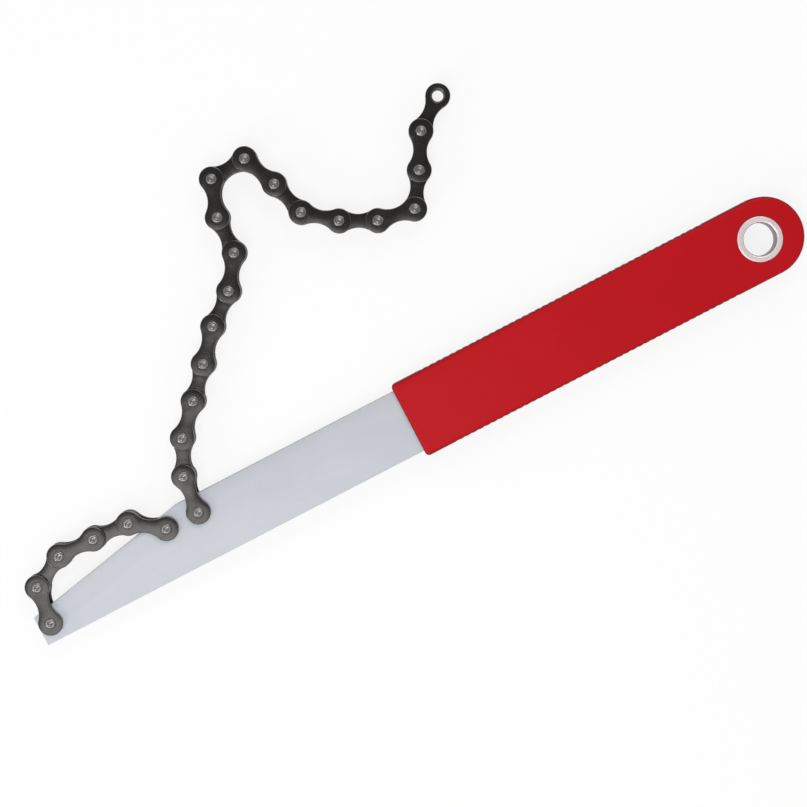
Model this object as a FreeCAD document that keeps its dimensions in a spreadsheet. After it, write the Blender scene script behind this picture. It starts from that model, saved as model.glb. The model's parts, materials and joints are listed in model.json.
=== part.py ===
import FreeCAD, Part
import math
import os
import Sketcher

# Bicycle chain whip, lying flat as it rests on a bench.
# X runs along the bar with +X towards the handle end, +Y is the side the chain lies on, +Z is up.
# The origin is the centre of the hanging hole, on the mid-plane that bar, grip and chain share.

# Driving sizes, in millimetres and degrees. Each alias is a cell of the sheet.
SIZES = {
    # flat steel bar
    "hole_to_tip": 269.6,
    "bar_width": 22.0,
    "bar_thickness": 4.5,
    "tip_width": 10.25,
    "taper_length": 58.9,
    "bar_end_offset": 1.7,
    "bar_edge_break": 0.3,
    # pivots in the bar: first at the tip, second and third where the two chains start
    "tip_pivot_inset": 4.3,
    "tip_pivot_edge": 6.2,
    "second_pivot_distance": 52.95,
    "upper_pivot_edge": 5.65,
    "pivot_spacing": 11.95,
    "slack_play": 0.5,
    "slack_offset": 0.45,
    "loop_clearance": 0.75,
    # sleeve grip
    "grip_length": 144.2,
    "grip_side_wall": 2.15,
    "grip_face_wall": 1.35,
    "grip_fit": 0.05,
    "grip_corner": 1.4,
    "grip_edge_break": 1.2,
    "rib_pitch": 2.45,
    "rib_depth": 0.3,
    "rib_width": 1.5,
    "rib_height": 6.0,
    "rib_count": 43,
    "rib_start": 11.6,
    # hanging eyelet
    "eyelet_bore": 10.8,
    "eyelet_wall": 0.5,
    "eyelet_flange": 15.0,
    "eyelet_proud": 0.2,
    "eyelet_lip": 0.7,
    "eyelet_flare": 0.35,
    "eyelet_fit": 0.1,
    # half-inch pitch derailleur chain
    "chain_pitch": 12.7,
    "plate_thickness": 1.0,
    "plate_end_radius": 4.1,
    "plate_waist": 4.5,
    "inner_width": 2.5,
    "plate_gap": 0.1,
    "pin_diameter": 3.6,
    "pin_length": 7.6,
    "pin_play": 0.06,
    "collar_diameter": 5.2,
    "collar_gap": 0.2,
    "roller_diameter": 7.75,
    "roller_width": 2.3,
    "roller_play": 0.08,
    # straight sides that stand for a round one where the piece repeats
    "end_facets": 6,
    "waist_facets": 2,
    "pin_facets": 8,
    "collar_facets": 6,
    "roller_facets": 7,
    "eye_facets": 12,
    "seat_facets": 16,
    "rim_facets": 24,
}

# Lean of the short chain's first four links in degrees from the line that they span together.
SHORT_LEANS = [57.9, 2.9, -25.6, -27.8]
# Headings of the long chain's links in degrees from +X, the way it lies.
LONG_HEADINGS = [85, 64, 46, 47, 48, 38, 54, 88, 71, 4, -68, -74, -40, -27, -10, 56, 60, 37]

doc = FreeCAD.newDocument("ChainWhip")
sheet = doc.addObject("Spreadsheet::Sheet", "sizes")
for row, (alias, value) in enumerate(SIZES.items(), start=1):
    sheet.set("A%d" % row, alias)
    sheet.set("B%d" % row, str(value))
    sheet.setAlias("B%d" % row, alias)
doc.recompute()


def size(alias):
    return float(sheet.get(alias))


# Sizes that several pieces share
PIN_RADIUS = size("pin_diameter") / 2
PIVOT_RADIUS = PIN_RADIUS + size("pin_play")
GRIP_WIDTH = size("bar_width") + 2 * size("grip_side_wall")
GRIP_THICKNESS = size("bar_thickness") + 2 * size("grip_face_wall")
PITCH = size("chain_pitch")
EYELET_TOP = GRIP_THICKNESS / 2 + size("eyelet_proud")
EYELET_TUBE_RADIUS = size("eyelet_bore") / 2 + size("eyelet_wall")
EYELET_HOLE_RADIUS = EYELET_TUBE_RADIUS + size("eyelet_fit")
EYELET_SEAT_RADIUS = size("eyelet_flange") / 2 + size("eyelet_fit")

# Faces count as level with each other within this
LEVEL = 0.001
# The arch that spans a gap is found by halving the bounds of its opening this many times
HALVINGS = 60

sub_parts = []


def add_body(label):
    body = doc.addObject("PartDesign::Body", label)
    body.Label = label
    body.AllowCompound = True
    body.Placement = FreeCAD.Placement()
    sub_parts.append(body)
    return body


def origin_feature(body, role):
    return next(f for f in body.Origin.OriginFeatures if f.Role == role)


def add_sketch(body, name, role="XY_Plane", level=None):
    sketch = body.newObject("Sketcher::SketchObject", name)
    sketch.AttachmentSupport = [(origin_feature(body, role), "")]
    sketch.MapMode = "FlatFace"
    if level:
        sketch.setExpression("AttachmentOffset.Base.z", level)
    return sketch


def add_loop(sketch, points):
    first = sketch.GeometryCount
    count = len(points)
    for i, start in enumerate(points):
        end = points[(i + 1) % count]
        sketch.addGeometry(Part.LineSegment(start, end), False)
    for i in range(count):
        following = first + (i + 1) % count
        sketch.addConstraint(Sketcher.Constraint("Coincident", first + i, 2, following, 1))


def add_pad(body, name, sketch, length, symmetric=False, reverse=False):
    pad = body.newObject("PartDesign::Pad", name)
    pad.Profile = sketch
    pad.setExpression("Length", length)
    pad.SideType = "Symmetric" if symmetric else "One side"
    pad.Reversed = reverse
    return pad


def add_pocket(body, name, sketch, length=None):
    pocket = body.newObject("PartDesign::Pocket", name)
    pocket.Profile = sketch
    pocket.SideType = "Symmetric"
    if length:
        pocket.setExpression("Length", length)
    else:
        pocket.Type = "ThroughAll"
    return pocket


def add_mirror(body, name, features, role="XY_Plane"):
    mirror = body.newObject("PartDesign::Mirrored", name)
    mirror.Originals = features
    mirror.MirrorPlane = (origin_feature(body, role), [""])
    body.Tip = mirror
    return mirror


def add_row(body, name, features, length, count):
    row = body.newObject("PartDesign::LinearPattern", name)
    row.Originals = features
    row.Direction = (origin_feature(body, "X_Axis"), [""])
    row.setExpression("Length", length)
    row.setExpression("Occurrences", count)
    body.Tip = row
    return row


def flat_faces(feature, height):
    # the names of the flat faces at that height above and below the mid-plane
    names = []
    for number, face in enumerate(feature.Shape.Faces, start=1):
        box = face.BoundBox
        if box.ZLength < LEVEL and abs(abs(box.ZMin) - height) < LEVEL:
            names.append("Face%d" % number)
    return names


def around(radius, facets):
    # the corner radius of a many-sided hole that clears a circle of that radius
    return radius / math.cos(math.pi / facets)


def regular_points(x, y, corner, facets):
    turns = [2 * math.pi * (i + 0.5) / facets for i in range(facets)]
    return [FreeCAD.Vector(x + corner * math.cos(a), y + corner * math.sin(a), 0) for a in turns]


def seat_points(radius):
    # the outline of a hole or seat round the eyelet
    facets = int(size("seat_facets"))
    return regular_points(0, 0, around(radius, facets), facets)


def arc_points(centre, radius, start, end, facets):
    turns = [start + (end - start) * i / facets for i in range(facets + 1)]
    return [centre + FreeCAD.Vector(radius * math.cos(a), radius * math.sin(a), 0) for a in turns]


# Bar pivots and the way the chains lie
TIP_PIVOT = FreeCAD.Vector(
    size("tip_pivot_inset") - size("hole_to_tip"),
    size("tip_pivot_edge") - size("bar_width") / 2,
    0,
)
SECOND_PIVOT = FreeCAD.Vector(
    size("second_pivot_distance") - size("hole_to_tip"),
    size("bar_width") / 2 - size("upper_pivot_edge"),
    0,
)
CHAIN_PIVOT = SECOND_PIVOT + FreeCAD.Vector(size("pivot_spacing"), 0, 0)
# Both ends of the bar's tapered edge
TAPER_START = FreeCAD.Vector(-size("hole_to_tip"), size("tip_width") - size("bar_width") / 2, 0)
TAPER_END = FreeCAD.Vector(size("taper_length") - size("hole_to_tip"), size("bar_width") / 2, 0)


def step(point, heading):
    turn = math.radians(heading)
    return point + FreeCAD.Vector(PITCH * math.cos(turn), PITCH * math.sin(turn), 0)


def heading_between(start, end):
    return math.degrees(math.atan2(end.y - start.y, end.x - start.x))


def lay_chain(start, headings):
    points = [start]
    for heading in headings:
        points.append(step(points[-1], heading))
    return points


def arch_end(opening):
    # where the first four links end if their leans are opened by that factor
    return lay_chain(FreeCAD.Vector(), [lean * opening for lean in SHORT_LEANS])[-1]


def lay_short_chain():
    # the last inner link lies beside the tapered edge, a clearance away from it
    edge = TAPER_END - TAPER_START
    along = edge / edge.Length
    outward = FreeCAD.Vector(-along.y, along.x, 0)
    rise = outward.dot(TAPER_START - SECOND_PIVOT) + size("plate_end_radius") + size("loop_clearance")
    run = math.sqrt(PITCH**2 - rise**2)
    last_free = SECOND_PIVOT + outward * rise - along * run
    # the first four links arch from the tip pivot to there
    span = last_free - TIP_PIVOT
    closed, opened = 0.0, 2.0
    for _ in range(HALVINGS):
        middle = (closed + opened) / 2
        if arch_end(middle).Length > span.Length:
            closed = middle
        else:
            opened = middle
    end = arch_end(opened)
    turn = math.degrees(math.atan2(span.y, span.x) - math.atan2(end.y, end.x))
    return lay_chain(TIP_PIVOT, [lean * opened + turn for lean in SHORT_LEANS]) + [SECOND_PIVOT]


def make_bar():
    body = add_body("bar")
    outline = add_sketch(body, "bar_outline")
    half = size("bar_width") / 2
    tip = -size("hole_to_tip")
    centre = FreeCAD.Vector(size("bar_end_offset"), 0, 0)
    corners = [
        TAPER_START,
        FreeCAD.Vector(tip, -half, 0),
        FreeCAD.Vector(centre.x, -half, 0),
        FreeCAD.Vector(centre.x, half, 0),
        TAPER_END,
    ]
    circle = Part.Circle(centre, FreeCAD.Vector(0, 0, 1), half)
    outline.addGeometry(Part.LineSegment(corners[0], corners[1]), False)
    outline.addGeometry(Part.LineSegment(corners[1], corners[2]), False)
    outline.addGeometry(Part.ArcOfCircle(circle, -math.pi / 2, math.pi / 2), False)
    outline.addGeometry(Part.LineSegment(corners[3], corners[4]), False)
    outline.addGeometry(Part.LineSegment(corners[4], corners[0]), False)
    tip_edge, lower_edge, round_end, upper_edge, taper = range(5)
    for constraint in [
        Sketcher.Constraint("Coincident", tip_edge, 2, lower_edge, 1),
        Sketcher.Constraint("Tangent", lower_edge, 2, round_end, 1),
        Sketcher.Constraint("Tangent", upper_edge, 1, round_end, 2),
        Sketcher.Constraint("Coincident", upper_edge, 2, taper, 1),
        Sketcher.Constraint("Coincident", taper, 2, tip_edge, 1),
        Sketcher.Constraint("Vertical", tip_edge),
        Sketcher.Constraint("Horizontal", lower_edge),
        Sketcher.Constraint("Horizontal", upper_edge),
        Sketcher.Constraint("PointOnObject", round_end, 3, -1),
    ]:
        outline.addConstraint(constraint)
    dimensions = [
        ("end_radius", Sketcher.Constraint("Radius", round_end, half), "sizes.bar_width / 2"),
        ("end_x", Sketcher.Constraint("DistanceX", -1, 1, round_end, 3, centre.x), "sizes.bar_end_offset"),
        ("tip_x", Sketcher.Constraint("DistanceX", lower_edge, 1, -1, 1, -tip), "sizes.hole_to_tip"),
        ("tip_y", Sketcher.Constraint("DistanceY", tip_edge, 2, tip_edge, 1, size("tip_width")), "sizes.tip_width"),
        ("taper_x", Sketcher.Constraint("DistanceX", taper, 2, taper, 1, size("taper_length")), "sizes.taper_length"),
    ]
    for name, constraint, expression in dimensions:
        number = outline.addConstraint(constraint)
        outline.renameConstraint(number, name)
        outline.setExpression("Constraints.%s" % name, expression)
    blank = add_pad(body, "bar_blank", outline, "sizes.bar_thickness", symmetric=True)
    doc.recompute()
    broken = body.newObject("PartDesign::Chamfer", "bar_edges")
    broken.Base = (blank, flat_faces(blank, size("bar_thickness") / 2))
    broken.setExpression("Size", "sizes.bar_edge_break")
    holes = add_sketch(body, "bar_holes")
    slack_radius = PIN_RADIUS + size("slack_play")
    slack = SECOND_PIVOT - FreeCAD.Vector(size("slack_offset"), 0, 0)
    facets = int(size("pin_facets"))
    for pivot, radius in ((TIP_PIVOT, PIVOT_RADIUS), (slack, slack_radius), (CHAIN_PIVOT, PIVOT_RADIUS)):
        add_loop(holes, regular_points(pivot.x, pivot.y, around(radius, facets), facets))
    add_loop(holes, seat_points(EYELET_HOLE_RADIUS))
    add_pocket(body, "bar_through_holes", holes)


def sleeve_outline(sketch, mouth, half, corner):
    # a rectangle from the mouth to a round end about the bar's own end centre
    centre = FreeCAD.Vector(size("bar_end_offset"), 0, 0)
    circle = Part.Circle(centre, FreeCAD.Vector(0, 0, 1), half)
    points = [
        FreeCAD.Vector(centre.x, half, 0),
        FreeCAD.Vector(mouth + corner, half, 0),
        FreeCAD.Vector(mouth, half - corner, 0),
        FreeCAD.Vector(mouth, corner - half, 0),
        FreeCAD.Vector(mouth + corner, -half, 0),
        FreeCAD.Vector(centre.x, -half, 0),
    ]
    pieces = [Part.ArcOfCircle(circle, -math.pi / 2, math.pi / 2)]
    pieces.append(Part.LineSegment(points[0], points[1]))
    if corner:
        upper = Part.Circle(FreeCAD.Vector(mouth + corner, half - corner, 0), FreeCAD.Vector(0, 0, 1), corner)
        lower = Part.Circle(FreeCAD.Vector(mouth + corner, corner - half, 0), FreeCAD.Vector(0, 0, 1), corner)
        pieces.append(Part.ArcOfCircle(upper, math.pi / 2, math.pi))
        pieces.append(Part.LineSegment(points[2], points[3]))
        pieces.append(Part.ArcOfCircle(lower, math.pi, 3 * math.pi / 2))
    else:
        pieces.append(Part.LineSegment(points[2], points[3]))
    pieces.append(Part.LineSegment(points[4], points[5]))
    sketch.addGeometry(pieces, False)


def make_grip():
    body = add_body("grip")
    half = GRIP_WIDTH / 2
    mouth = size("bar_end_offset") + half - size("grip_length")
    outline = add_sketch(body, "grip_outline")
    sleeve_outline(outline, mouth, half, size("grip_corner"))
    thickness = "sizes.bar_thickness + 2 * sizes.grip_face_wall"
    solid = add_pad(body, "grip_solid", outline, thickness, symmetric=True)
    doc.recompute()
    broken = body.newObject("PartDesign::Chamfer", "grip_edges")
    broken.Base = (solid, flat_faces(solid, GRIP_THICKNESS / 2))
    broken.setExpression("Size", "sizes.grip_edge_break")
    cavity = add_sketch(body, "grip_cavity_outline")
    sleeve_outline(cavity, mouth - size("grip_corner"), size("bar_width") / 2 + size("grip_fit"), 0)
    add_pocket(body, "grip_cavity", cavity, "sizes.bar_thickness + 2 * sizes.grip_fit")
    # one V groove across each long edge, repeated along the handle
    groove = add_sketch(body, "grip_groove_outline")
    start = mouth + size("rib_start")
    depth = size("rib_depth")
    for side in (1, -1):
        reach = side * (half + depth)
        add_loop(groove, [
            FreeCAD.Vector(start - size("rib_width"), reach, 0),
            FreeCAD.Vector(start + size("rib_width"), reach, 0),
            FreeCAD.Vector(start, side * (half - depth), 0),
        ])
    grooves = add_pocket(body, "grip_groove", groove, "sizes.rib_height")
    add_row(body, "grip_ribs", [grooves], "sizes.rib_pitch * (sizes.rib_count - 1)", "sizes.rib_count")
    hole = add_sketch(body, "grip_eyelet_hole_outline")
    add_loop(hole, seat_points(EYELET_HOLE_RADIUS))
    add_pocket(body, "grip_eyelet_hole", hole)
    # the seats that the eyelet's two flanges press into the faces
    for name, level in (("top", 1), ("bottom", -1)):
        seat = add_sketch(body, "grip_%s_seat_outline" % name, level="%d * (%s) / 2" % (level, thickness))
        add_loop(seat, seat_points(EYELET_SEAT_RADIUS))
        pocket = body.newObject("PartDesign::Pocket", "grip_%s_seat" % name)
        pocket.Profile = seat
        pocket.SideType = "One side"
        pocket.setExpression("Length", "sizes.eyelet_lip - sizes.eyelet_proud")
        pocket.Reversed = level < 0


def make_eyelet():
    # a tube through grip and bar with its two ends rolled out over the grip
    body = add_body("eyelet")
    tube = add_sketch(body, "eyelet_tube_outline")
    add_loop(tube, regular_points(0, 0, EYELET_TUBE_RADIUS, int(size("seat_facets"))))
    top = "sizes.bar_thickness / 2 + sizes.grip_face_wall + sizes.eyelet_proud"
    barrel = add_pad(body, "eyelet_tube", tube, "2 * (%s)" % top, symmetric=True)
    rim = add_sketch(body, "eyelet_rim_outline", level="%s - sizes.eyelet_lip" % top)
    add_loop(rim, regular_points(0, 0, size("eyelet_flange") / 2, int(size("rim_facets"))))
    flange = add_pad(body, "eyelet_flange", rim, "sizes.eyelet_lip")
    blank = add_mirror(body, "eyelet_blank", [barrel, flange])
    doc.recompute()
    rolled = body.newObject("PartDesign::Chamfer", "eyelet_rolled_edges")
    rolled.Base = (blank, flat_faces(blank, EYELET_TOP))
    rolled.setExpression("Size", "sizes.eyelet_flare")
    bore = add_sketch(body, "eyelet_bore_outline")
    bore.addGeometry(Part.Circle(FreeCAD.Vector(0, 0, 0), FreeCAD.Vector(0, 0, 1), 1), False)
    bore.addConstraint(Sketcher.Constraint("Coincident", 0, 3, -1, 1))
    bore.addConstraint(Sketcher.Constraint("Radius", 0, size("eyelet_bore") / 2))
    bore.setExpression("Constraints[1]", "sizes.eyelet_bore / 2")
    body.Tip = add_pocket(body, "eyelet_bore", bore)


def plate_outline():
    # two round ends joined by hollow waists that are tangent to both of them
    radius = size("plate_end_radius")
    waist = size("plate_waist") / 2
    middle = PITCH / 2
    hollow = (middle**2 + waist**2 - radius**2) / (2 * (radius - waist))
    lean = math.atan2(hollow + waist, middle)
    ends = int(size("end_facets"))
    waists = int(size("waist_facets"))
    near = FreeCAD.Vector(0, 0, 0)
    far = FreeCAD.Vector(PITCH, 0, 0)
    above = FreeCAD.Vector(middle, hollow + waist, 0)
    below = FreeCAD.Vector(middle, -hollow - waist, 0)
    points = arc_points(near, radius, lean, 2 * math.pi - lean, ends)
    points += arc_points(below, hollow, math.pi - lean, lean, waists)[1:-1]
    points += arc_points(far, radius, lean - math.pi, math.pi - lean, ends)
    points += arc_points(above, hollow, -lean, lean - math.pi, waists)[1:-1]
    return points


def place_link(body, pivot, heading):
    rotation = FreeCAD.Rotation(FreeCAD.Vector(0, 0, 1), heading)
    body.Placement = FreeCAD.Placement(pivot, rotation)


def make_outer_plates(label, pivot, heading):
    body = add_body(label)
    face = "sizes.inner_width / 2 + sizes.plate_thickness + sizes.plate_gap"
    profile = add_sketch(body, label + "_profile", level=face)
    add_loop(profile, plate_outline())
    for x in (0, PITCH):
        add_loop(profile, regular_points(x, 0, PIN_RADIUS, int(size("pin_facets"))))
    plate = add_pad(body, label + "_plate", profile, "sizes.plate_thickness")
    add_mirror(body, label + "_pair", [plate])
    place_link(body, pivot, heading)


def make_inner_plates(label, pivot, heading, far_facets):
    # each plate carries half a bushing at either eye, drawn inwards from the plate itself
    body = add_body(label)
    bores = ((0, int(size("collar_facets"))), (PITCH, far_facets))
    profile = add_sketch(body, label + "_profile", level="sizes.inner_width / 2")
    collars = add_sketch(body, label + "_collar_profile", level="sizes.inner_width / 2")
    add_loop(profile, plate_outline())
    for x, facets in bores:
        bore = regular_points(x, 0, around(PIVOT_RADIUS, facets), facets)
        add_loop(profile, bore)
        add_loop(collars, bore)
        add_loop(collars, regular_points(x, 0, size("collar_diameter") / 2, facets))
    plate = add_pad(body, label + "_plate", profile, "sizes.plate_thickness")
    height = "(sizes.inner_width - sizes.collar_gap) / 2"
    collar = add_pad(body, label + "_collar", collars, height, reverse=True)
    add_mirror(body, label + "_pair", [plate, collar])
    place_link(body, pivot, heading)


def make_pins(label, pivot, heading):
    body = add_body(label)
    profile = add_sketch(body, label + "_profile")
    add_loop(profile, regular_points(0, 0, PIN_RADIUS, int(size("pin_facets"))))
    pin = add_pad(body, label + "_pin", profile, "sizes.pin_length", symmetric=True)
    add_row(body, label + "_pair", [pin], "sizes.chain_pitch", "2")
    place_link(body, pivot, heading)


def make_roller(label, centre, heading):
    body = add_body(label)
    profile = add_sketch(body, label + "_profile")
    facets = int(size("collar_facets"))
    bore = around(size("collar_diameter") / 2 + size("roller_play"), facets)
    add_loop(profile, regular_points(0, 0, size("roller_diameter") / 2, int(size("roller_facets"))))
    add_loop(profile, regular_points(0, 0, bore, facets))
    add_pad(body, label + "_barrel", profile, "sizes.roller_width", symmetric=True)
    place_link(body, centre, heading)


def make_chain(name, points, open_end):
    # outer and inner links take turns, and an outer link comes first because it straddles the bar
    last = len(points) - 2
    for index, (start, end) in enumerate(zip(points, points[1:])):
        label = "%s_%02d" % (name, index + 1)
        heading = heading_between(start, end)
        if index % 2 == 0:
            make_outer_plates(label + "_outer_plates", start, heading)
            make_pins(label + "_pins", start, heading)
        else:
            free = open_end and index == last
            far_facets = int(size("eye_facets" if free else "collar_facets"))
            make_inner_plates(label + "_inner_plates", start, heading, far_facets)
            make_roller(label + "_near_roller", start, heading)
            make_roller(label + "_far_roller", end, heading)


make_bar()
make_grip()
make_eyelet()
make_chain("short", lay_short_chain(), open_end=False)
make_chain("long", lay_chain(CHAIN_PIVOT, LONG_HEADINGS), open_end=True)
doc.recompute()

for item in doc.Objects:
    if "Invalid" in item.State or "Error" in item.State:
        raise RuntimeError("%s failed: %s" % (item.Label, item.State))
for body in sub_parts:
    if body.Shape.isNull() or not body.Shape.isValid():
        raise RuntimeError("%s has no valid shape" % body.Label)

os.makedirs("parts", exist_ok=True)
for body in sub_parts:
    body.Shape.exportStep("parts/%s.step" % body.Label)
print("%d sub-parts, %.1f cm3" % (len(sub_parts), sum(b.Shape.Volume for b in sub_parts) / 1000))
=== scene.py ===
import json
import math

import bmesh
import bpy
from mathutils import Matrix, Vector


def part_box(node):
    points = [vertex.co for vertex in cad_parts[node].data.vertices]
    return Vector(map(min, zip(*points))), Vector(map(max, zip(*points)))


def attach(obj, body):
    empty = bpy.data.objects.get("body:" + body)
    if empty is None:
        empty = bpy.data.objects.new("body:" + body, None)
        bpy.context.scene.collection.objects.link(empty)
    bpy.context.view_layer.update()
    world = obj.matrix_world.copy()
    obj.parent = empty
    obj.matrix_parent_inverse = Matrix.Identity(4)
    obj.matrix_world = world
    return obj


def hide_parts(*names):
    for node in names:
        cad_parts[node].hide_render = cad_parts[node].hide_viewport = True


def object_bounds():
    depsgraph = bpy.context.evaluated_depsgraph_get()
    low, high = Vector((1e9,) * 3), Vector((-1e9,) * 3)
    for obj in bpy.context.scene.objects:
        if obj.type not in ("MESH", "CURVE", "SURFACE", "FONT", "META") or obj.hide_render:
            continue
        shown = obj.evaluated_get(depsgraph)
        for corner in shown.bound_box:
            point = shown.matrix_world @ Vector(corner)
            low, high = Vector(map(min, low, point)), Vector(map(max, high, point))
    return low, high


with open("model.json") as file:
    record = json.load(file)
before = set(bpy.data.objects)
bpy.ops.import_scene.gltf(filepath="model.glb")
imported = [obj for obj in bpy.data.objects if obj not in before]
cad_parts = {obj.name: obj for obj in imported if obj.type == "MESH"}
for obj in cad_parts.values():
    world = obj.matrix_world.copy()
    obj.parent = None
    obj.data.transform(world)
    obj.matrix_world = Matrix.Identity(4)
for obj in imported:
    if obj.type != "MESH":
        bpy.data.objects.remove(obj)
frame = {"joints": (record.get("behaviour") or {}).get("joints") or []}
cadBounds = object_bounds()
joints = {joint["name"]: joint for joint in frame["joints"]}
scene = bpy.context.scene


# mesh helpers that several pieces use

def mergeClose(bm, distance=1e-6):
    bmesh.ops.remove_doubles(bm, verts=bm.verts, dist=distance)


def wholeMesh(bm):
    return list(bm.verts) + list(bm.edges) + list(bm.faces)


def onlyVerts(parts):
    return [part for part in parts if isinstance(part, bmesh.types.BMVert)]


def isLevel(part, height):
    return all(abs(vert.co.z - height) < 1e-7 for vert in part.verts)


def sweepPoint(bm, start, centre, angle, steps):
    # one vertex carried round a centre leaves an arc of edges behind it
    vert = bm.verts.new((start[0], start[1], 0))
    bmesh.ops.spin(bm, geom=[vert], cent=(centre[0], centre[1], 0), axis=(0, 0, 1), angle=angle, steps=steps)


def raiseFaces(bm, faces, height):
    # the faces stay where they are and a copy of them goes up, with a wall between the two
    raised = bmesh.ops.extrude_face_region(bm, geom=faces, use_keep_orig=True)["geom"]
    bmesh.ops.translate(bm, verts=onlyVerts(raised), vec=(0, 0, height))


def liftOutline(bm, low, high):
    # a closed outline drawn at z 0 becomes an upright block
    face = bmesh.ops.contextual_create(bm, geom=list(bm.edges))["faces"]
    bmesh.ops.translate(bm, verts=bm.verts, vec=(0, 0, low))
    raiseFaces(bm, face, high - low)


def roundEndedBlock(half, centre, steps, corners, top):
    # a flat block with a round end at the hanging hole and straight sides that run to the given corners
    bm = bmesh.new()
    sweepPoint(bm, (centre, -half), (centre, 0), math.pi, steps)
    bm.verts.ensure_lookup_table()
    first, last = bm.verts[0], bm.verts[-1]
    others = [bm.verts.new((x, y, 0)) for x, y in corners]
    for pair in zip([last] + others, others + [first]):
        bm.edges.new(pair)
    liftOutline(bm, -top, top)
    return bm


def bevelEdges(bm, edges, width, segments):
    bmesh.ops.bevel(bm, geom=edges, offset=width, offset_type="OFFSET", segments=segments, profile=0.5,
                    affect="EDGES", material=-1, clamp_overlap=True)


def bevelFaceRims(bm, low, high, width, segments):
    # breaks the edges round the lower and the upper flat face
    bevelEdges(bm, [edge for edge in bm.edges if isLevel(edge, low) or isLevel(edge, high)], width, segments)


def addCircle(bm, centre, radius, height, segments):
    place = Matrix.Translation((centre[0], centre[1], height))
    made = bmesh.ops.create_circle(bm, radius=radius, segments=segments, matrix=place)
    # each edge once, in an order that is the same at every run
    return list(dict.fromkeys(edge for vert in made["verts"] for edge in vert.link_edges))


def drillFace(bm, level, circles, segments):
    # the flat face at that level is taken out and filled again round its holes; gives each hole's rim
    face = max((face for face in bm.faces if isLevel(face, level)), key=lambda face: face.calc_area())
    rim = list(face.edges)
    bmesh.ops.delete(bm, geom=[face], context="FACES_ONLY")
    rims = [addCircle(bm, centre, radius, level, segments) for centre, radius in circles]
    around = rim + [edge for circle in rims for edge in circle]
    bmesh.ops.triangle_fill(bm, edges=around, use_beauty=True, normal=(0, 0, 1))
    return rims


def wallHoles(bm, lowRims, highRims):
    for lower, upper in zip(lowRims, highRims):
        bmesh.ops.bridge_loops(bm, edges=lower + upper)


def lathe(bm, profile, steps, centreX=0, closed=True):
    # (radius, height) points spun once round an upright axis
    verts = [bm.verts.new((centreX + radius, 0, height)) for radius, height in profile]
    pairs = list(zip(verts, verts[1:])) + ([(verts[-1], verts[0])] if closed else [])
    edges = [bm.edges.new(pair) for pair in pairs]
    bmesh.ops.spin(bm, geom=verts + edges, cent=(centreX, 0, 0), axis=(0, 0, 1), angle=2 * math.pi,
                   steps=steps, use_merge=True)


def bothHalves(upper):
    # a lathe profile and its mirror image below the mid-plane
    return upper + [(radius, -height) for radius, height in reversed(upper)]


def roundCorner(centre, radius, start, end, steps):
    # points of a rounded corner in a lathe profile, angles in degrees
    turns = [math.radians(start + (end - start) * i / steps) for i in range(steps + 1)]
    return [(centre[0] + radius * math.cos(turn), centre[1] + radius * math.sin(turn)) for turn in turns]


def newObject(bm, name):
    bmesh.ops.recalc_face_normals(bm, faces=bm.faces)
    mesh = bpy.data.meshes.new(name)
    bm.to_mesh(mesh)
    bm.free()
    made = bpy.data.objects.new(name, mesh)
    scene.collection.objects.link(made)
    return made


def finishPiece(bm, name, material, body, node, smoothAngle=42):
    # the bmesh becomes a piece in place of a CAD node: flat faces stay flat, rounded ones are smooth
    mergeClose(bm, 2e-7)
    piece = newObject(bm, name)
    piece.data.materials.append(material)
    for face in piece.data.polygons:
        face.use_smooth = abs(face.normal.z) < 0.9999
    piece.data.set_sharp_from_angle(angle=math.radians(smoothAngle))
    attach(piece, body)
    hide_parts(node)
    return piece


# shader helpers

def addNode(tree, kind, settings=None, inputs=None):
    node = tree.nodes.new(kind)
    for key, value in (settings or {}).items():
        setattr(node, key, value)
    for key, value in (inputs or {}).items():
        if isinstance(value, bpy.types.NodeSocket):
            tree.links.new(value, node.inputs[key])
        else:
            node.inputs[key].default_value = value
    return node


def addMath(tree, operation, *values):
    return addNode(tree, "ShaderNodeMath", {"operation": operation}, dict(enumerate(values))).outputs[0]


def mixColour(tree, factor, first, second):
    # 0, 6 and 7 are the factor and the two colours of a Mix node, and 2 is its colour output
    return addNode(tree, "ShaderNodeMix", {"data_type": "RGBA"}, {0: factor, 6: first, 7: second}).outputs[2]


def remap(tree, value, fromRange, toRange=(0.0, 1.0)):
    return addNode(tree, "ShaderNodeMapRange", None, {
        "Value": value, "From Min": fromRange[0], "From Max": fromRange[1],
        "To Min": toRange[0], "To Max": toRange[1]}).outputs[0]


def newGroup(name, inputs, output):
    group = bpy.data.node_groups.new(name, "ShaderNodeTree")
    for label, value in inputs.items():
        socket = group.interface.new_socket(name=label, in_out="INPUT", socket_type="NodeSocketFloat")
        socket.default_value = value
    group.interface.new_socket(name=output, in_out="OUTPUT", socket_type="NodeSocketFloat")
    return group, group.nodes.new("NodeGroupInput"), group.nodes.new("NodeGroupOutput")


# effects that the materials share, each a node group
effects = {
    "mottleDetail": 5.0, "mottleRoughness": 0.6,
    "unevenDetail": 3.0, "uneven": 0.06,
    "grainDetail": 4.0,
    # how far a surface has turned from the flat face (1 is flat) where a broken edge, painted lighter for wear and a
    # painted sheen, and a side wall, painted darker as shade, begin and end
    "edgeFrom": 0.99, "wallFrom": 0.45, "wallTo": 0.2,
}


def makeMottle():
    # soft blotches, 0 to 1
    group, start, end = newGroup("surfaceMottle", {"Scale": 300.0, "Contrast": 0.2}, "Blotches")
    coords = addNode(group, "ShaderNodeTexCoord")
    noise = addNode(group, "ShaderNodeTexNoise", None, {
        "Vector": coords.outputs["Object"], "Scale": start.outputs["Scale"],
        "Detail": effects["mottleDetail"], "Roughness": effects["mottleRoughness"]})
    low = addMath(group, "SUBTRACT", 0.5, start.outputs["Contrast"])
    high = addMath(group, "ADD", 0.5, start.outputs["Contrast"])
    group.links.new(remap(group, noise.outputs["Fac"], (low, high)), end.inputs[0])
    return group


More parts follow.
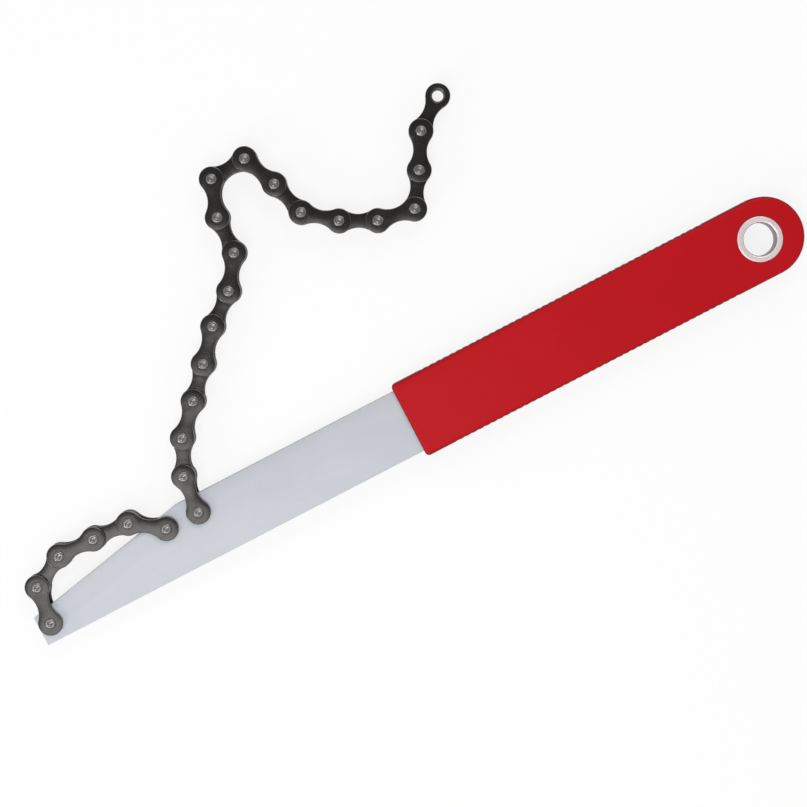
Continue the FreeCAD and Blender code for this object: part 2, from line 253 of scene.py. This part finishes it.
def makeTurnedAway():
    # 0 on the flat faces and 1 where the surface has turned away from them, made uneven by a fine noise
    group, start, end = newGroup("turnedAway", {"From": 0.985, "To": 0.9, "Scale": 2500.0}, "Mask")
    coords = addNode(group, "ShaderNodeTexCoord")
    facing = addNode(group, "ShaderNodeSeparateXYZ", None, {0: coords.outputs["Normal"]})
    level = addMath(group, "ABSOLUTE", facing.outputs["Z"])
    noise = addNode(group, "ShaderNodeTexNoise", None, {
        "Vector": coords.outputs["Object"], "Scale": start.outputs["Scale"], "Detail": effects["unevenDetail"]})
    uneven = addMath(group, "MULTIPLY_ADD", noise.outputs["Fac"], effects["uneven"], level)
    group.links.new(remap(group, uneven, (start.outputs["From"], start.outputs["To"])), end.inputs[0])
    return group


def makeGrain():
    # fine drawn lines that run along the bar
    group, start, end = newGroup("drawnGrain", {"Along": 60.0, "Across": 5200.0}, "Lines")
    coords = addNode(group, "ShaderNodeTexCoord")
    stretch = addNode(group, "ShaderNodeCombineXYZ", None, {
        "X": start.outputs["Along"], "Y": start.outputs["Across"], "Z": start.outputs["Across"]})
    scaled = addNode(group, "ShaderNodeVectorMath", {"operation": "MULTIPLY"}, {
        0: coords.outputs["Object"], 1: stretch.outputs["Vector"]})
    noise = addNode(group, "ShaderNodeTexNoise", None, {
        "Vector": scaled.outputs["Vector"], "Scale": 1.0, "Detail": effects["grainDetail"]})
    group.links.new(noise.outputs["Fac"], end.inputs[0])
    return group


mottle = makeMottle()
turnedAway = makeTurnedAway()
drawnGrain = makeGrain()


def useGroup(tree, group, inputs):
    return addNode(tree, "ShaderNodeGroup", {"node_tree": group}, inputs).outputs[0]


def addBlotches(tree, scaleAndContrast):
    return useGroup(tree, mottle, dict(zip(("Scale", "Contrast"), scaleAndContrast)))


def addTurnedAway(tree, startAt, fullAt, scale):
    return useGroup(tree, turnedAway, {"From": startAt, "To": fullAt, "Scale": scale})


def rubbedSheenAndWallShade(tree, fullAt, scale):
    # masks of the broken edge between a flat face and a side wall, painted lighter for wear and a painted sheen, and of
    # the side wall itself, painted darker as shade
    broken = addTurnedAway(tree, effects["edgeFrom"], fullAt, scale)
    shadedWall = addTurnedAway(tree, effects["wallFrom"], effects["wallTo"], scale)
    edge = addNode(tree, "ShaderNodeMath", {"operation": "SUBTRACT", "use_clamp": True}, {0: broken, 1: shadedWall})
    return edge.outputs[0], shadedWall


def emptyMaterial(name):
    material = bpy.data.materials.new(name)
    material.use_nodes = True
    material.node_tree.nodes.clear()
    return material, material.node_tree


def newMaterial(name, metallic, specular=0.5):
    material, tree = emptyMaterial(name)
    shader = addNode(tree, "ShaderNodeBsdfPrincipled", None, {"Metallic": metallic, "Specular IOR Level": specular})
    addNode(tree, "ShaderNodeOutputMaterial", None, {"Surface": shader.outputs["BSDF"]})
    return material, tree, shader


def finishSurface(tree, shader, colour, roughness, height, bump):
    # bump is its strength and its depth
    tree.links.new(colour, shader.inputs["Base Color"])
    tree.links.new(roughness, shader.inputs["Roughness"])
    raised = addNode(tree, "ShaderNodeBump", None, {"Strength": bump[0], "Distance": bump[1], "Height": height})
    tree.links.new(raised.outputs[0], shader.inputs["Normal"])


print("shared effects ready")


# flat steel bar
bar = {
    "tip": -0.2696, "halfWidth": 0.011, "tipTop": -0.00075, "taperLength": 0.0589, "endCentre": 0.0017, "endSteps": 32,
    "top": 0.00225, "edgeBreak": 0.0003, "edgeSteps": 2,
    # centre and radius of the two pin holes, the slack hole and the eyelet's hole
    "holes": [((-0.2653, -0.0048), 0.00186), ((-0.2047, 0.00535), 0.00186), ((-0.2171, 0.00535), 0.0023),
              ((0, 0), 0.0060)],
    "holeSteps": 48,
    "tone": (0.60, 0.625, 0.665, 1), "shade": (0.55, 0.575, 0.62, 1), "rubbedAndSheen": (0.66, 0.67, 0.69, 1),
    "metallic": 0.1, "roughness": (0.46, 0.60), "bump": (0.15, 0.00002),
    "grainAlong": 60.0, "grainAcross": 5200.0, "patches": (60.0, 0.25), "edgeFullAt": 0.85, "edgeScale": 900.0,
    # the part of the drawn lines' range that shows as colour, how strongly, and the part that shows as gloss
    "lineRange": (0.35, 0.7), "lineStrength": 0.55, "glossRange": (0.3, 0.7),
}


def makeBarSteel():
    material, tree, shader = newMaterial("satinBarSteel", bar["metallic"])
    lines = useGroup(tree, drawnGrain, {"Along": bar["grainAlong"], "Across": bar["grainAcross"]})
    patchy = mixColour(tree, addBlotches(tree, bar["patches"]), bar["shade"], bar["tone"])
    lineShare = remap(tree, lines, bar["lineRange"], (0.0, bar["lineStrength"]))
    lined = mixColour(tree, lineShare, patchy, bar["shade"])
    wornAndSheen, _ = rubbedSheenAndWallShade(tree, bar["edgeFullAt"], bar["edgeScale"])
    # the broken edges are painted lighter: partly wear, partly a painted sheen
    colour = mixColour(tree, wornAndSheen, lined, bar["rubbedAndSheen"])
    finishSurface(tree, shader, colour, remap(tree, lines, bar["glossRange"], bar["roughness"]), lines, bar["bump"])
    return material


def makeBar():
    half, tip, top = bar["halfWidth"], bar["tip"], bar["top"]
    corners = [(tip + bar["taperLength"], half), (tip, bar["tipTop"]), (tip, -half)]
    bm = roundEndedBlock(half, bar["endCentre"], bar["endSteps"], corners, top)
    bevelFaceRims(bm, -top, top, bar["edgeBreak"], bar["edgeSteps"])
    wallHoles(bm, *[drillFace(bm, level, bar["holes"], bar["holeSteps"]) for level in (-top, top)])
    return finishPiece(bm, "flatBar", makeBarSteel(), "handle", "bar")


makeBar()
print("bar made")


# ribbed sleeve grip
grip = {
    "mouth": -0.12935, "halfWidth": 0.01315, "top": 0.0036, "endCentre": 0.0017, "endSteps": 64,
    "mouthCorner": 0.0014, "mouthSteps": 8, "edgeRadius": 0.0012, "edgeSteps": 5,
    "pocketHalf": 0.01105, "pocketTop": 0.0023,
    "ribStart": 0.0116, "ribPitch": 0.00245, "ribCount": 43, "ribDepth": 0.0003, "ribHalf": 0.00075, "ribHeight": 0.003,
    "hole": 0.0060, "seat": 0.0076, "seatFloor": 0.0031, "holeSteps": 64,
    # how far the cutters stand out of the mouth and of the faces
    "pocketProud": 0.004, "holeProud": 0.001,
    # the last of these three reds is painted shade for the rounded edges and side walls
    "red": (0.545, 0.0055, 0.0110, 1), "deepRed": (0.50, 0.0047, 0.0095, 1), "shadedEdgeRed": (0.17, 0.0040, 0.0085, 1),
    "roughness": (0.42, 0.56), "specular": 0.13, "bump": (0.12, 0.00003), "smoothAngle": 35,
    "broad": (30.0, 0.2), "skin": (1400.0, 0.3), "edgeFrom": 0.88, "edgeFullAt": 0.3, "edgeScale": 700.0,
}


def makeGripVinyl():
    material, tree, shader = newMaterial("redSleeveVinyl", 0.0, grip["specular"])
    skin = addBlotches(tree, grip["skin"])
    face = mixColour(tree, addBlotches(tree, grip["broad"]), grip["deepRed"], grip["red"])
    # painted shade: where the sleeve turns away from its flat faces, on the rounded edges and side walls, the red is
    # mixed towards a much darker red
    edge = addTurnedAway(tree, grip["edgeFrom"], grip["edgeFullAt"], grip["edgeScale"])
    colour = mixColour(tree, edge, face, grip["shadedEdgeRed"])
    finishSurface(tree, shader, colour, remap(tree, skin, (0.0, 1.0), grip["roughness"]), skin, grip["bump"])
    return material


def sleeveBlock(half, mouth, top):
    # the flat shape of the sleeve, and of the pocket inside it
    return roundEndedBlock(half, grip["endCentre"], grip["endSteps"], [(mouth, half), (mouth, -half)], top)


def makeHoleCutter():
    # the hanging hole with a wider seat at each end for the eyelet's flange
    bm = bmesh.new()
    end, floor, seat, hole = grip["top"] + grip["holeProud"], grip["seatFloor"], grip["seat"], grip["hole"]
    lathe(bm, [(0, -end), (seat, -end), (seat, -floor), (hole, -floor), (hole, floor), (seat, floor), (seat, end),
               (0, end)], grip["holeSteps"], closed=False)
    mergeClose(bm)
    return newObject(bm, "holeCutter")


def makeGrooveCutter():
    # a row of upright wedges along both long edges
    bm = bmesh.new()
    depth, spread, height = grip["ribDepth"], grip["ribHalf"] * 2, grip["ribHeight"]
    for side in (-1, 1):
        for rib in range(grip["ribCount"]):
            x = grip["mouth"] + grip["ribStart"] + rib * grip["ribPitch"]
            verts = [bm.verts.new((x + along, side * (grip["halfWidth"] + proud), -height))
                     for along, proud in ((0, -depth), (-spread, depth), (spread, depth))]
            raiseFaces(bm, [bm.faces.new(verts)], 2 * height)
    return newObject(bm, "grooveCutter")


def makeGrip():
    mouth, top = grip["mouth"], grip["top"]
    bm = sleeveBlock(grip["halfWidth"], mouth, top)
    corners = [edge for edge in bm.edges if all(vert.co.x < mouth + 1e-5 for vert in edge.verts)
               and not isLevel(edge, edge.verts[0].co.z)]
    bevelEdges(bm, corners, grip["mouthCorner"], grip["mouthSteps"])
    bevelFaceRims(bm, -top, top, grip["edgeRadius"], grip["edgeSteps"])
    sleeve = newObject(bm, "sleeveBlank")
    pocket = sleeveBlock(grip["pocketHalf"], mouth - grip["pocketProud"], grip["pocketTop"])
    cutters = [newObject(pocket, "pocketCutter"), makeHoleCutter(), makeGrooveCutter()]
    for cutter in cutters:
        cut = sleeve.modifiers.new("cut", "BOOLEAN")
        cut.operation, cut.solver, cut.object = "DIFFERENCE", "EXACT", cutter
    bpy.context.view_layer.update()
    carved = bpy.data.meshes.new_from_object(sleeve.evaluated_get(bpy.context.evaluated_depsgraph_get()))
    for blank in cutters + [sleeve]:
        bpy.data.objects.remove(blank)
    bm = bmesh.new()
    bm.from_mesh(carved)
    return finishPiece(bm, "sleeveGrip", makeGripVinyl(), "handle", "grip", grip["smoothAngle"])


makeGrip()
print("grip made")


# rolled eyelet
eyelet = {
    "bore": 0.0054, "tube": 0.0059, "rim": 0.0075, "top": 0.0038, "seat": 0.0031, "steps": 96,
    "roll": 0.0008, "rollSteps": 6, "lip": 0.00035, "lipSteps": 5, "lipEnd": -20, "underRim": 0.0001,
    # the pink tint of tone and shade is a painted reflection of the red sleeve
    "tone": (0.98, 0.84, 0.86, 1), "shade": (0.88, 0.73, 0.75, 1), "paintedBoreShade": (0.15, 0.14, 0.14, 1),
    "metallic": 0.3, "roughness": (0.28, 0.42), "bump": (0.08, 0.00002),
    "patches": (220.0, 0.22), "fine": (2600.0, 0.3),
    # how far out from the bore its painted shade begins and ends to fade
    "boreFade": (0.00005, 0.0003),
}


def makeEyeletMetal():
    material, tree, shader = newMaterial("platedEyelet", eyelet["metallic"])
    fine = addBlotches(tree, eyelet["fine"])
    plated = mixColour(tree, addBlotches(tree, eyelet["patches"]), eyelet["shade"], eyelet["tone"])
    # painted shade: the wall of the bore and the inner edge of the rolled rim are painted much darker than the rest of
    # the rim
    coords = addNode(tree, "ShaderNodeTexCoord")
    flat = addNode(tree, "ShaderNodeVectorMath", {"operation": "MULTIPLY"}, {0: coords.outputs["Object"], 1: (1, 1, 0)})
    radius = addNode(tree, "ShaderNodeVectorMath", {"operation": "LENGTH"}, {0: flat.outputs["Vector"]})
    fade = [eyelet["bore"] + out for out in eyelet["boreFade"]]
    colour = mixColour(tree, remap(tree, radius.outputs["Value"], fade, (1.0, 0.0)), plated, eyelet["paintedBoreShade"])
    finishSurface(tree, shader, colour, remap(tree, fine, (0.0, 1.0), eyelet["roughness"]), fine, eyelet["bump"])
    return material


def makeEyelet():
    bm = bmesh.new()
    top, rim, bore, lip, roll = (eyelet[key] for key in ("top", "rim", "bore", "lip", "roll"))
    upper = roundCorner((bore + roll, top - roll), roll, 180, 90, eyelet["rollSteps"])
    upper += roundCorner((rim - lip, top - lip), lip, 90, eyelet["lipEnd"], eyelet["lipSteps"])
    upper += [(rim - eyelet["underRim"], eyelet["seat"]), (eyelet["tube"], eyelet["seat"])]
    lathe(bm, bothHalves(upper), eyelet["steps"])
    return finishPiece(bm, "rolledEyelet", makeEyeletMetal(), "handle", "eyelet")


makeEyelet()
print("eyelet made")


# roller chain
chain = {
    "links": (("short", 5), ("long", 18)),
    "pitch": 0.0127, "endRadius": 0.0041, "waist": 0.00225, "endSteps": 18, "waistSteps": 14,
    "outerLow": 0.00235, "outerHigh": 0.00335, "innerLow": 0.00125, "innerHigh": 0.00225,
    "outerBevel": 0.00032, "innerBevel": 0.0002, "bevelSteps": 3,
    "eyeRadius": 0.00186, "eyeSteps": 32, "eyeLip": 0.0008, "lipSteps": 6,
    "collarRadius": 0.0026, "collarEnd": 0.0001, "collarEdge": 0.0001,
    # a pin's peened end as radius and depth: a shallow cup inside a raised ring
    "pinTop": 0.0038, "pinSteps": 28,
    "pinEnd": [(0, 0.0004), (0.0002, 0.0004), (0.0005, 0.00034), (0.00075, 0.00014), (0.00095, 0.00002),
               (0.0011, 0), (0.0013, 0.00002), (0.0016, 0.00014), (0.0018, 0.0004)],
    "rollerRadius": 0.003875, "rollerHalf": 0.00115, "rollerBore": 0.00268, "rollerEdge": 0.0003,
    "rollerEdgeSteps": 3, "rollerSteps": 40,
    "blotches": (240.0, 0.25), "fine": (1900.0, 0.3), "edgeFullAt": 0.8, "edgeScale": 1600.0, "bump": (0.1, 0.00002),
}

plateLook = {
    "metallic": 0.7, "dark": (0.034, 0.032, 0.030, 1), "light": (0.062, 0.059, 0.057, 1),
    "rubbedAndSheen": (0.17, 0.166, 0.163, 1), "shadedWall": (0.014, 0.013, 0.012, 1), "roughness": (0.24, 0.29),
}

pinLook = {
    "metallic": 0.8, "dark": (0.15, 0.147, 0.145, 1), "light": (0.27, 0.265, 0.262, 1),
    "rubbedAndSheen": (0.27, 0.265, 0.262, 1), "shadedWall": (0.15, 0.147, 0.145, 1), "roughness": (0.26, 0.36),
}

rollerLook = {
    "metallic": 0.7, "dark": (0.055, 0.052, 0.050, 1), "light": (0.14, 0.135, 0.13, 1),
    "rubbedAndSheen": (0.17, 0.166, 0.163, 1), "shadedWall": (0.055, 0.052, 0.050, 1), "roughness": (0.26, 0.42),
}


def makeChainSteel(name, look):
    material, tree, shader = newMaterial(name, look["metallic"])
    blotches, fine = addBlotches(tree, chain["blotches"]), addBlotches(tree, chain["fine"])
    wornAndSheen, shadedWall = rubbedSheenAndWallShade(tree, chain["edgeFullAt"], chain["edgeScale"])
    # the broken edges are painted lighter: partly wear, partly a painted sheen
    face = mixColour(tree, wornAndSheen, mixColour(tree, blotches, look["dark"], look["light"]), look["rubbedAndSheen"])
    # painted shade: the side walls take the wall colour, which on the plates is much darker than their faces
    colour = mixColour(tree, shadedWall, face, look["shadedWall"])
    finishSurface(tree, shader, colour, remap(tree, fine, (0.0, 1.0), look["roughness"]), fine, chain["bump"])
    return material


plateSteel = makeChainSteel("oiledPlateSteel", plateLook)
pinSteel = makeChainSteel("barePinSteel", pinLook)
rollerSteel = makeChainSteel("turnedRollerSteel", rollerLook)


def plateOutline(bm):
    # a quarter of the figure eight from two tangent arcs, mirrored both ways about the middle of the link
    middle, end, waist = chain["pitch"] / 2, chain["endRadius"], chain["waist"]
    hollow = (middle ** 2 + waist ** 2 - end ** 2) / (2 * (end - waist))
    lean = math.atan2(hollow + waist, middle)
    sweepPoint(bm, (middle + end, 0), (middle, 0), math.pi - lean, chain["endSteps"])
    sweepPoint(bm, (0, waist), (0, hollow + waist), math.pi / 2 - lean, chain["waistSteps"])
    mergeClose(bm)
    for axis in ("X", "Y"):
        bmesh.ops.mirror(bm, geom=wholeMesh(bm), matrix=Matrix.Identity(4), merge_dist=1e-6, axis=axis)
    mergeClose(bm)
    bmesh.ops.translate(bm, verts=bm.verts, vec=(middle, 0, 0))


def drawPlate(low, high, lowHole, highHole, bevel):
    # one plate of a link that starts at the origin and points along x; gives the rims of its eyes too
    bm = bmesh.new()
    plateOutline(bm)
    liftOutline(bm, low, high)
    bevelFaceRims(bm, low, high, bevel, chain["bevelSteps"])
    ends = ((0, 0), (chain["pitch"], 0))
    lowRims = drillFace(bm, low, [(end, lowHole) for end in ends], chain["eyeSteps"])
    highRims = drillFace(bm, high, [(end, highHole) for end in ends], chain["eyeSteps"])
    return bm, lowRims, highRims


def addBothSides(bm):
    # the plate above the mid-plane gets its twin below
    twin = bmesh.ops.duplicate(bm, geom=wholeMesh(bm))["geom"]
    bmesh.ops.scale(bm, vec=(1, 1, -1), verts=onlyVerts(twin))
    bmesh.ops.reverse_faces(bm, faces=[part for part in twin if isinstance(part, bmesh.types.BMFace)])


def drawOuterPlates():
    eye = chain["eyeRadius"]
    bm, lowRims, highRims = drawPlate(chain["outerLow"], chain["outerHigh"], eye, eye, chain["outerBevel"])
    wallHoles(bm, lowRims, highRims)
    addBothSides(bm)
    return bm


def drawInnerPlates():
    # each eye is drawn inward into a collar, so it has a rounded mouth outside and a short tube inside
    lip, high, low, edge = chain["eyeLip"], chain["innerHigh"], chain["innerLow"], chain["collarEdge"]
    eye, collar, end = chain["eyeRadius"], chain["collarRadius"], chain["collarEnd"]
    bm, _, _ = drawPlate(low, high, collar, eye + lip, chain["innerBevel"])
    profile = roundCorner((eye + lip, high - lip), lip, 90, 180, chain["lipSteps"])
    profile += [(eye, end + edge), (eye + edge, end), (collar - edge, end), (collar, end + edge), (collar, low)]
    for x in (0, chain["pitch"]):
        lathe(bm, profile, chain["eyeSteps"], x, closed=False)
    mergeClose(bm, 2e-6)
    addBothSides(bm)
    return bm


def drawPins():
    bm = bmesh.new()
    upper = [(radius, chain["pinTop"] - depth) for radius, depth in chain["pinEnd"]]
    for x in (0, chain["pitch"]):
        lathe(bm, bothHalves(upper), chain["pinSteps"], x, closed=False)
    mergeClose(bm)
    return bm


def drawRoller():
    bm = bmesh.new()
    outer, half, bore, edge = chain["rollerRadius"], chain["rollerHalf"], chain["rollerBore"], chain["rollerEdge"]
    upper = [(bore, half - edge / 2), (bore + edge / 2, half)]
    upper += roundCorner((outer - edge, half - edge), edge, 90, 0, chain["rollerEdgeSteps"])
    lathe(bm, bothHalves(upper), chain["rollerSteps"])
    return bm


def linkPlace(label, platesNode):
    # where a link starts, and the way it points, both read from the frame
    near = Vector(joints[label + "_hinge"]["pos_m"])
    low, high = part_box(platesNode)
    middle = (Vector(low) + Vector(high)) / 2
    along = Vector((middle.x - near.x, middle.y - near.y, 0))
    return near, math.atan2(along.y, along.x)


def placeCopy(template, name, material, body, node, origin, heading):
    bm = template.copy()
    turn = Matrix.Translation((origin[0], origin[1], 0)) @ Matrix.Rotation(heading, 4, "Z")
    bmesh.ops.transform(bm, matrix=turn, verts=bm.verts)
    return finishPiece(bm, name, material, body, node)


def makeLink(label, node, plates, pins=None):
    # the plates of a link, and its pins if it is an outer one; gives the way that it points
    near, heading = linkPlace(label, node)
    placeCopy(plates, label + "_figureEightPlates", plateSteel, label, node, near, heading)
    if pins is not None:
        placeCopy(pins, label + "_peenedPins", pinSteel, label, label + "_pins", near, heading)
    return heading


def makeRollers(label, roller, heading):
    for end in ("near", "far"):
        node = "%s_%s_roller" % (label, end)
        centre = joints[node + "_spin"]["pos_m"]
        name = "%s_%sTurnedRoller" % (label, end)
        placeCopy(roller, name, rollerSteel, node, node, centre, heading)


def makeChain():
    outer, inner, pins, roller = drawOuterPlates(), drawInnerPlates(), drawPins(), drawRoller()
    for run, count in chain["links"]:
        for number in range(1, count + 1):
            label = "%s_%02d" % (run, number)
            if number % 2:
                makeLink(label, label + "_outer_plates", outer, pins)
            else:
                heading = makeLink(label, label + "_inner_plates", inner)
                makeRollers(label, roller, heading)
    for template in (outer, inner, pins, roller):
        template.free()


makeChain()
print("chain made")


# floor, light and camera
studio = {
    "middle": -0.13, "floorSize": 4.0, "floorTone": 0.16, "floorGlow": 0.84,
    "zenith": 0.12, "band": 0.72, "bandRange": (0.55, 0.85),
    # name, place, size and power of each lamp, and where they all point
    "lamps": [("keyLamp", (-0.405, -0.18, 0.75), 0.54, 2.7), ("rakeLamp", (-0.96, -0.22, 0.32), 0.2, 1.6),
              ("fillLamp", (0.42, 0.62, 0.70), 0.5, 2.4)],
    "aim": (-0.13, 0.02, 0),
}


def makeFloor():
    # diffuse paper that keeps the shadow, and a glow that only camera, glossy and transmission rays see
    bm = bmesh.new()
    bmesh.ops.create_grid(bm, x_segments=1, y_segments=1, size=studio["floorSize"] / 2)
    bmesh.ops.translate(bm, verts=bm.verts, vec=(studio["middle"], 0, cadBounds[0][2]))
    floor = newObject(bm, "paleFloor")
    material, tree = emptyMaterial("paleFloorPaper")
    tone = studio["floorTone"]
    paper = addNode(tree, "ShaderNodeBsdfDiffuse", None, {"Color": (tone, tone, tone, 1)})
    path = addNode(tree, "ShaderNodeLightPath")
    seen = addMath(tree, "MAXIMUM", path.outputs["Is Camera Ray"], path.outputs["Is Glossy Ray"])
    through = addMath(tree, "MAXIMUM", seen, path.outputs["Is Transmission Ray"])
    strength = addMath(tree, "MULTIPLY", through, studio["floorGlow"])
    glow = addNode(tree, "ShaderNodeEmission", None, {"Color": (1, 1, 1, 1), "Strength": strength})
    both = addNode(tree, "ShaderNodeAddShader", None, {0: paper.outputs[0], 1: glow.outputs[0]})
    addNode(tree, "ShaderNodeOutputMaterial", None, {"Surface": both.outputs[0]})
    floor.data.materials.append(material)


def addLamp(name, place, size, power):
    lamp = bpy.data.lights.new(name, "AREA")
    lamp.shape, lamp.size, lamp.energy = "DISK", size, power
    holder = bpy.data.objects.new(name, lamp)
    holder.location = place
    holder.rotation_euler = (Vector(studio["aim"]) - Vector(place)).to_track_quat("-Z", "Y").to_euler()
    scene.collection.objects.link(holder)


def makeWorld():
    # a bright band of sky round a darker zenith, as in a room with soft boxes on the walls
    world = bpy.data.worlds.new("studioWorld")
    world.use_nodes = True
    tree = world.node_tree
    coords = addNode(tree, "ShaderNodeTexCoord")
    height = addNode(tree, "ShaderNodeSeparateXYZ", None, {0: coords.outputs["Generated"]})
    strength = remap(tree, height.outputs["Z"], studio["bandRange"], (studio["band"], studio["zenith"]))
    background = tree.nodes["Background"]
    background.inputs["Color"].default_value = (1, 1, 1, 1)
    tree.links.new(strength, background.inputs["Strength"])
    scene.world = world


# tilt and turn in degrees, lens and sensor in mm
view = {"place": (-0.10843, 0.04399, 0.7029), "tilt": -3.5, "turn": -27.467, "lens": 95.242, "sensor": 36, "near": 0.01}


def makeCamera():
    data = bpy.data.cameras.new("photoCamera")
    data.lens, data.sensor_width, data.clip_start = view["lens"], view["sensor"], view["near"]
    camera = bpy.data.objects.new("photoCamera", data)
    camera.location = view["place"]
    camera.rotation_euler = (math.radians(view["tilt"]), 0, math.radians(view["turn"]))
    scene.collection.objects.link(camera)
    scene.camera = camera


makeFloor()
for lamp in studio["lamps"]:
    addLamp(*lamp)
makeWorld()
makeCamera()
scene.view_settings.view_transform = "Standard"
print("studio ready")
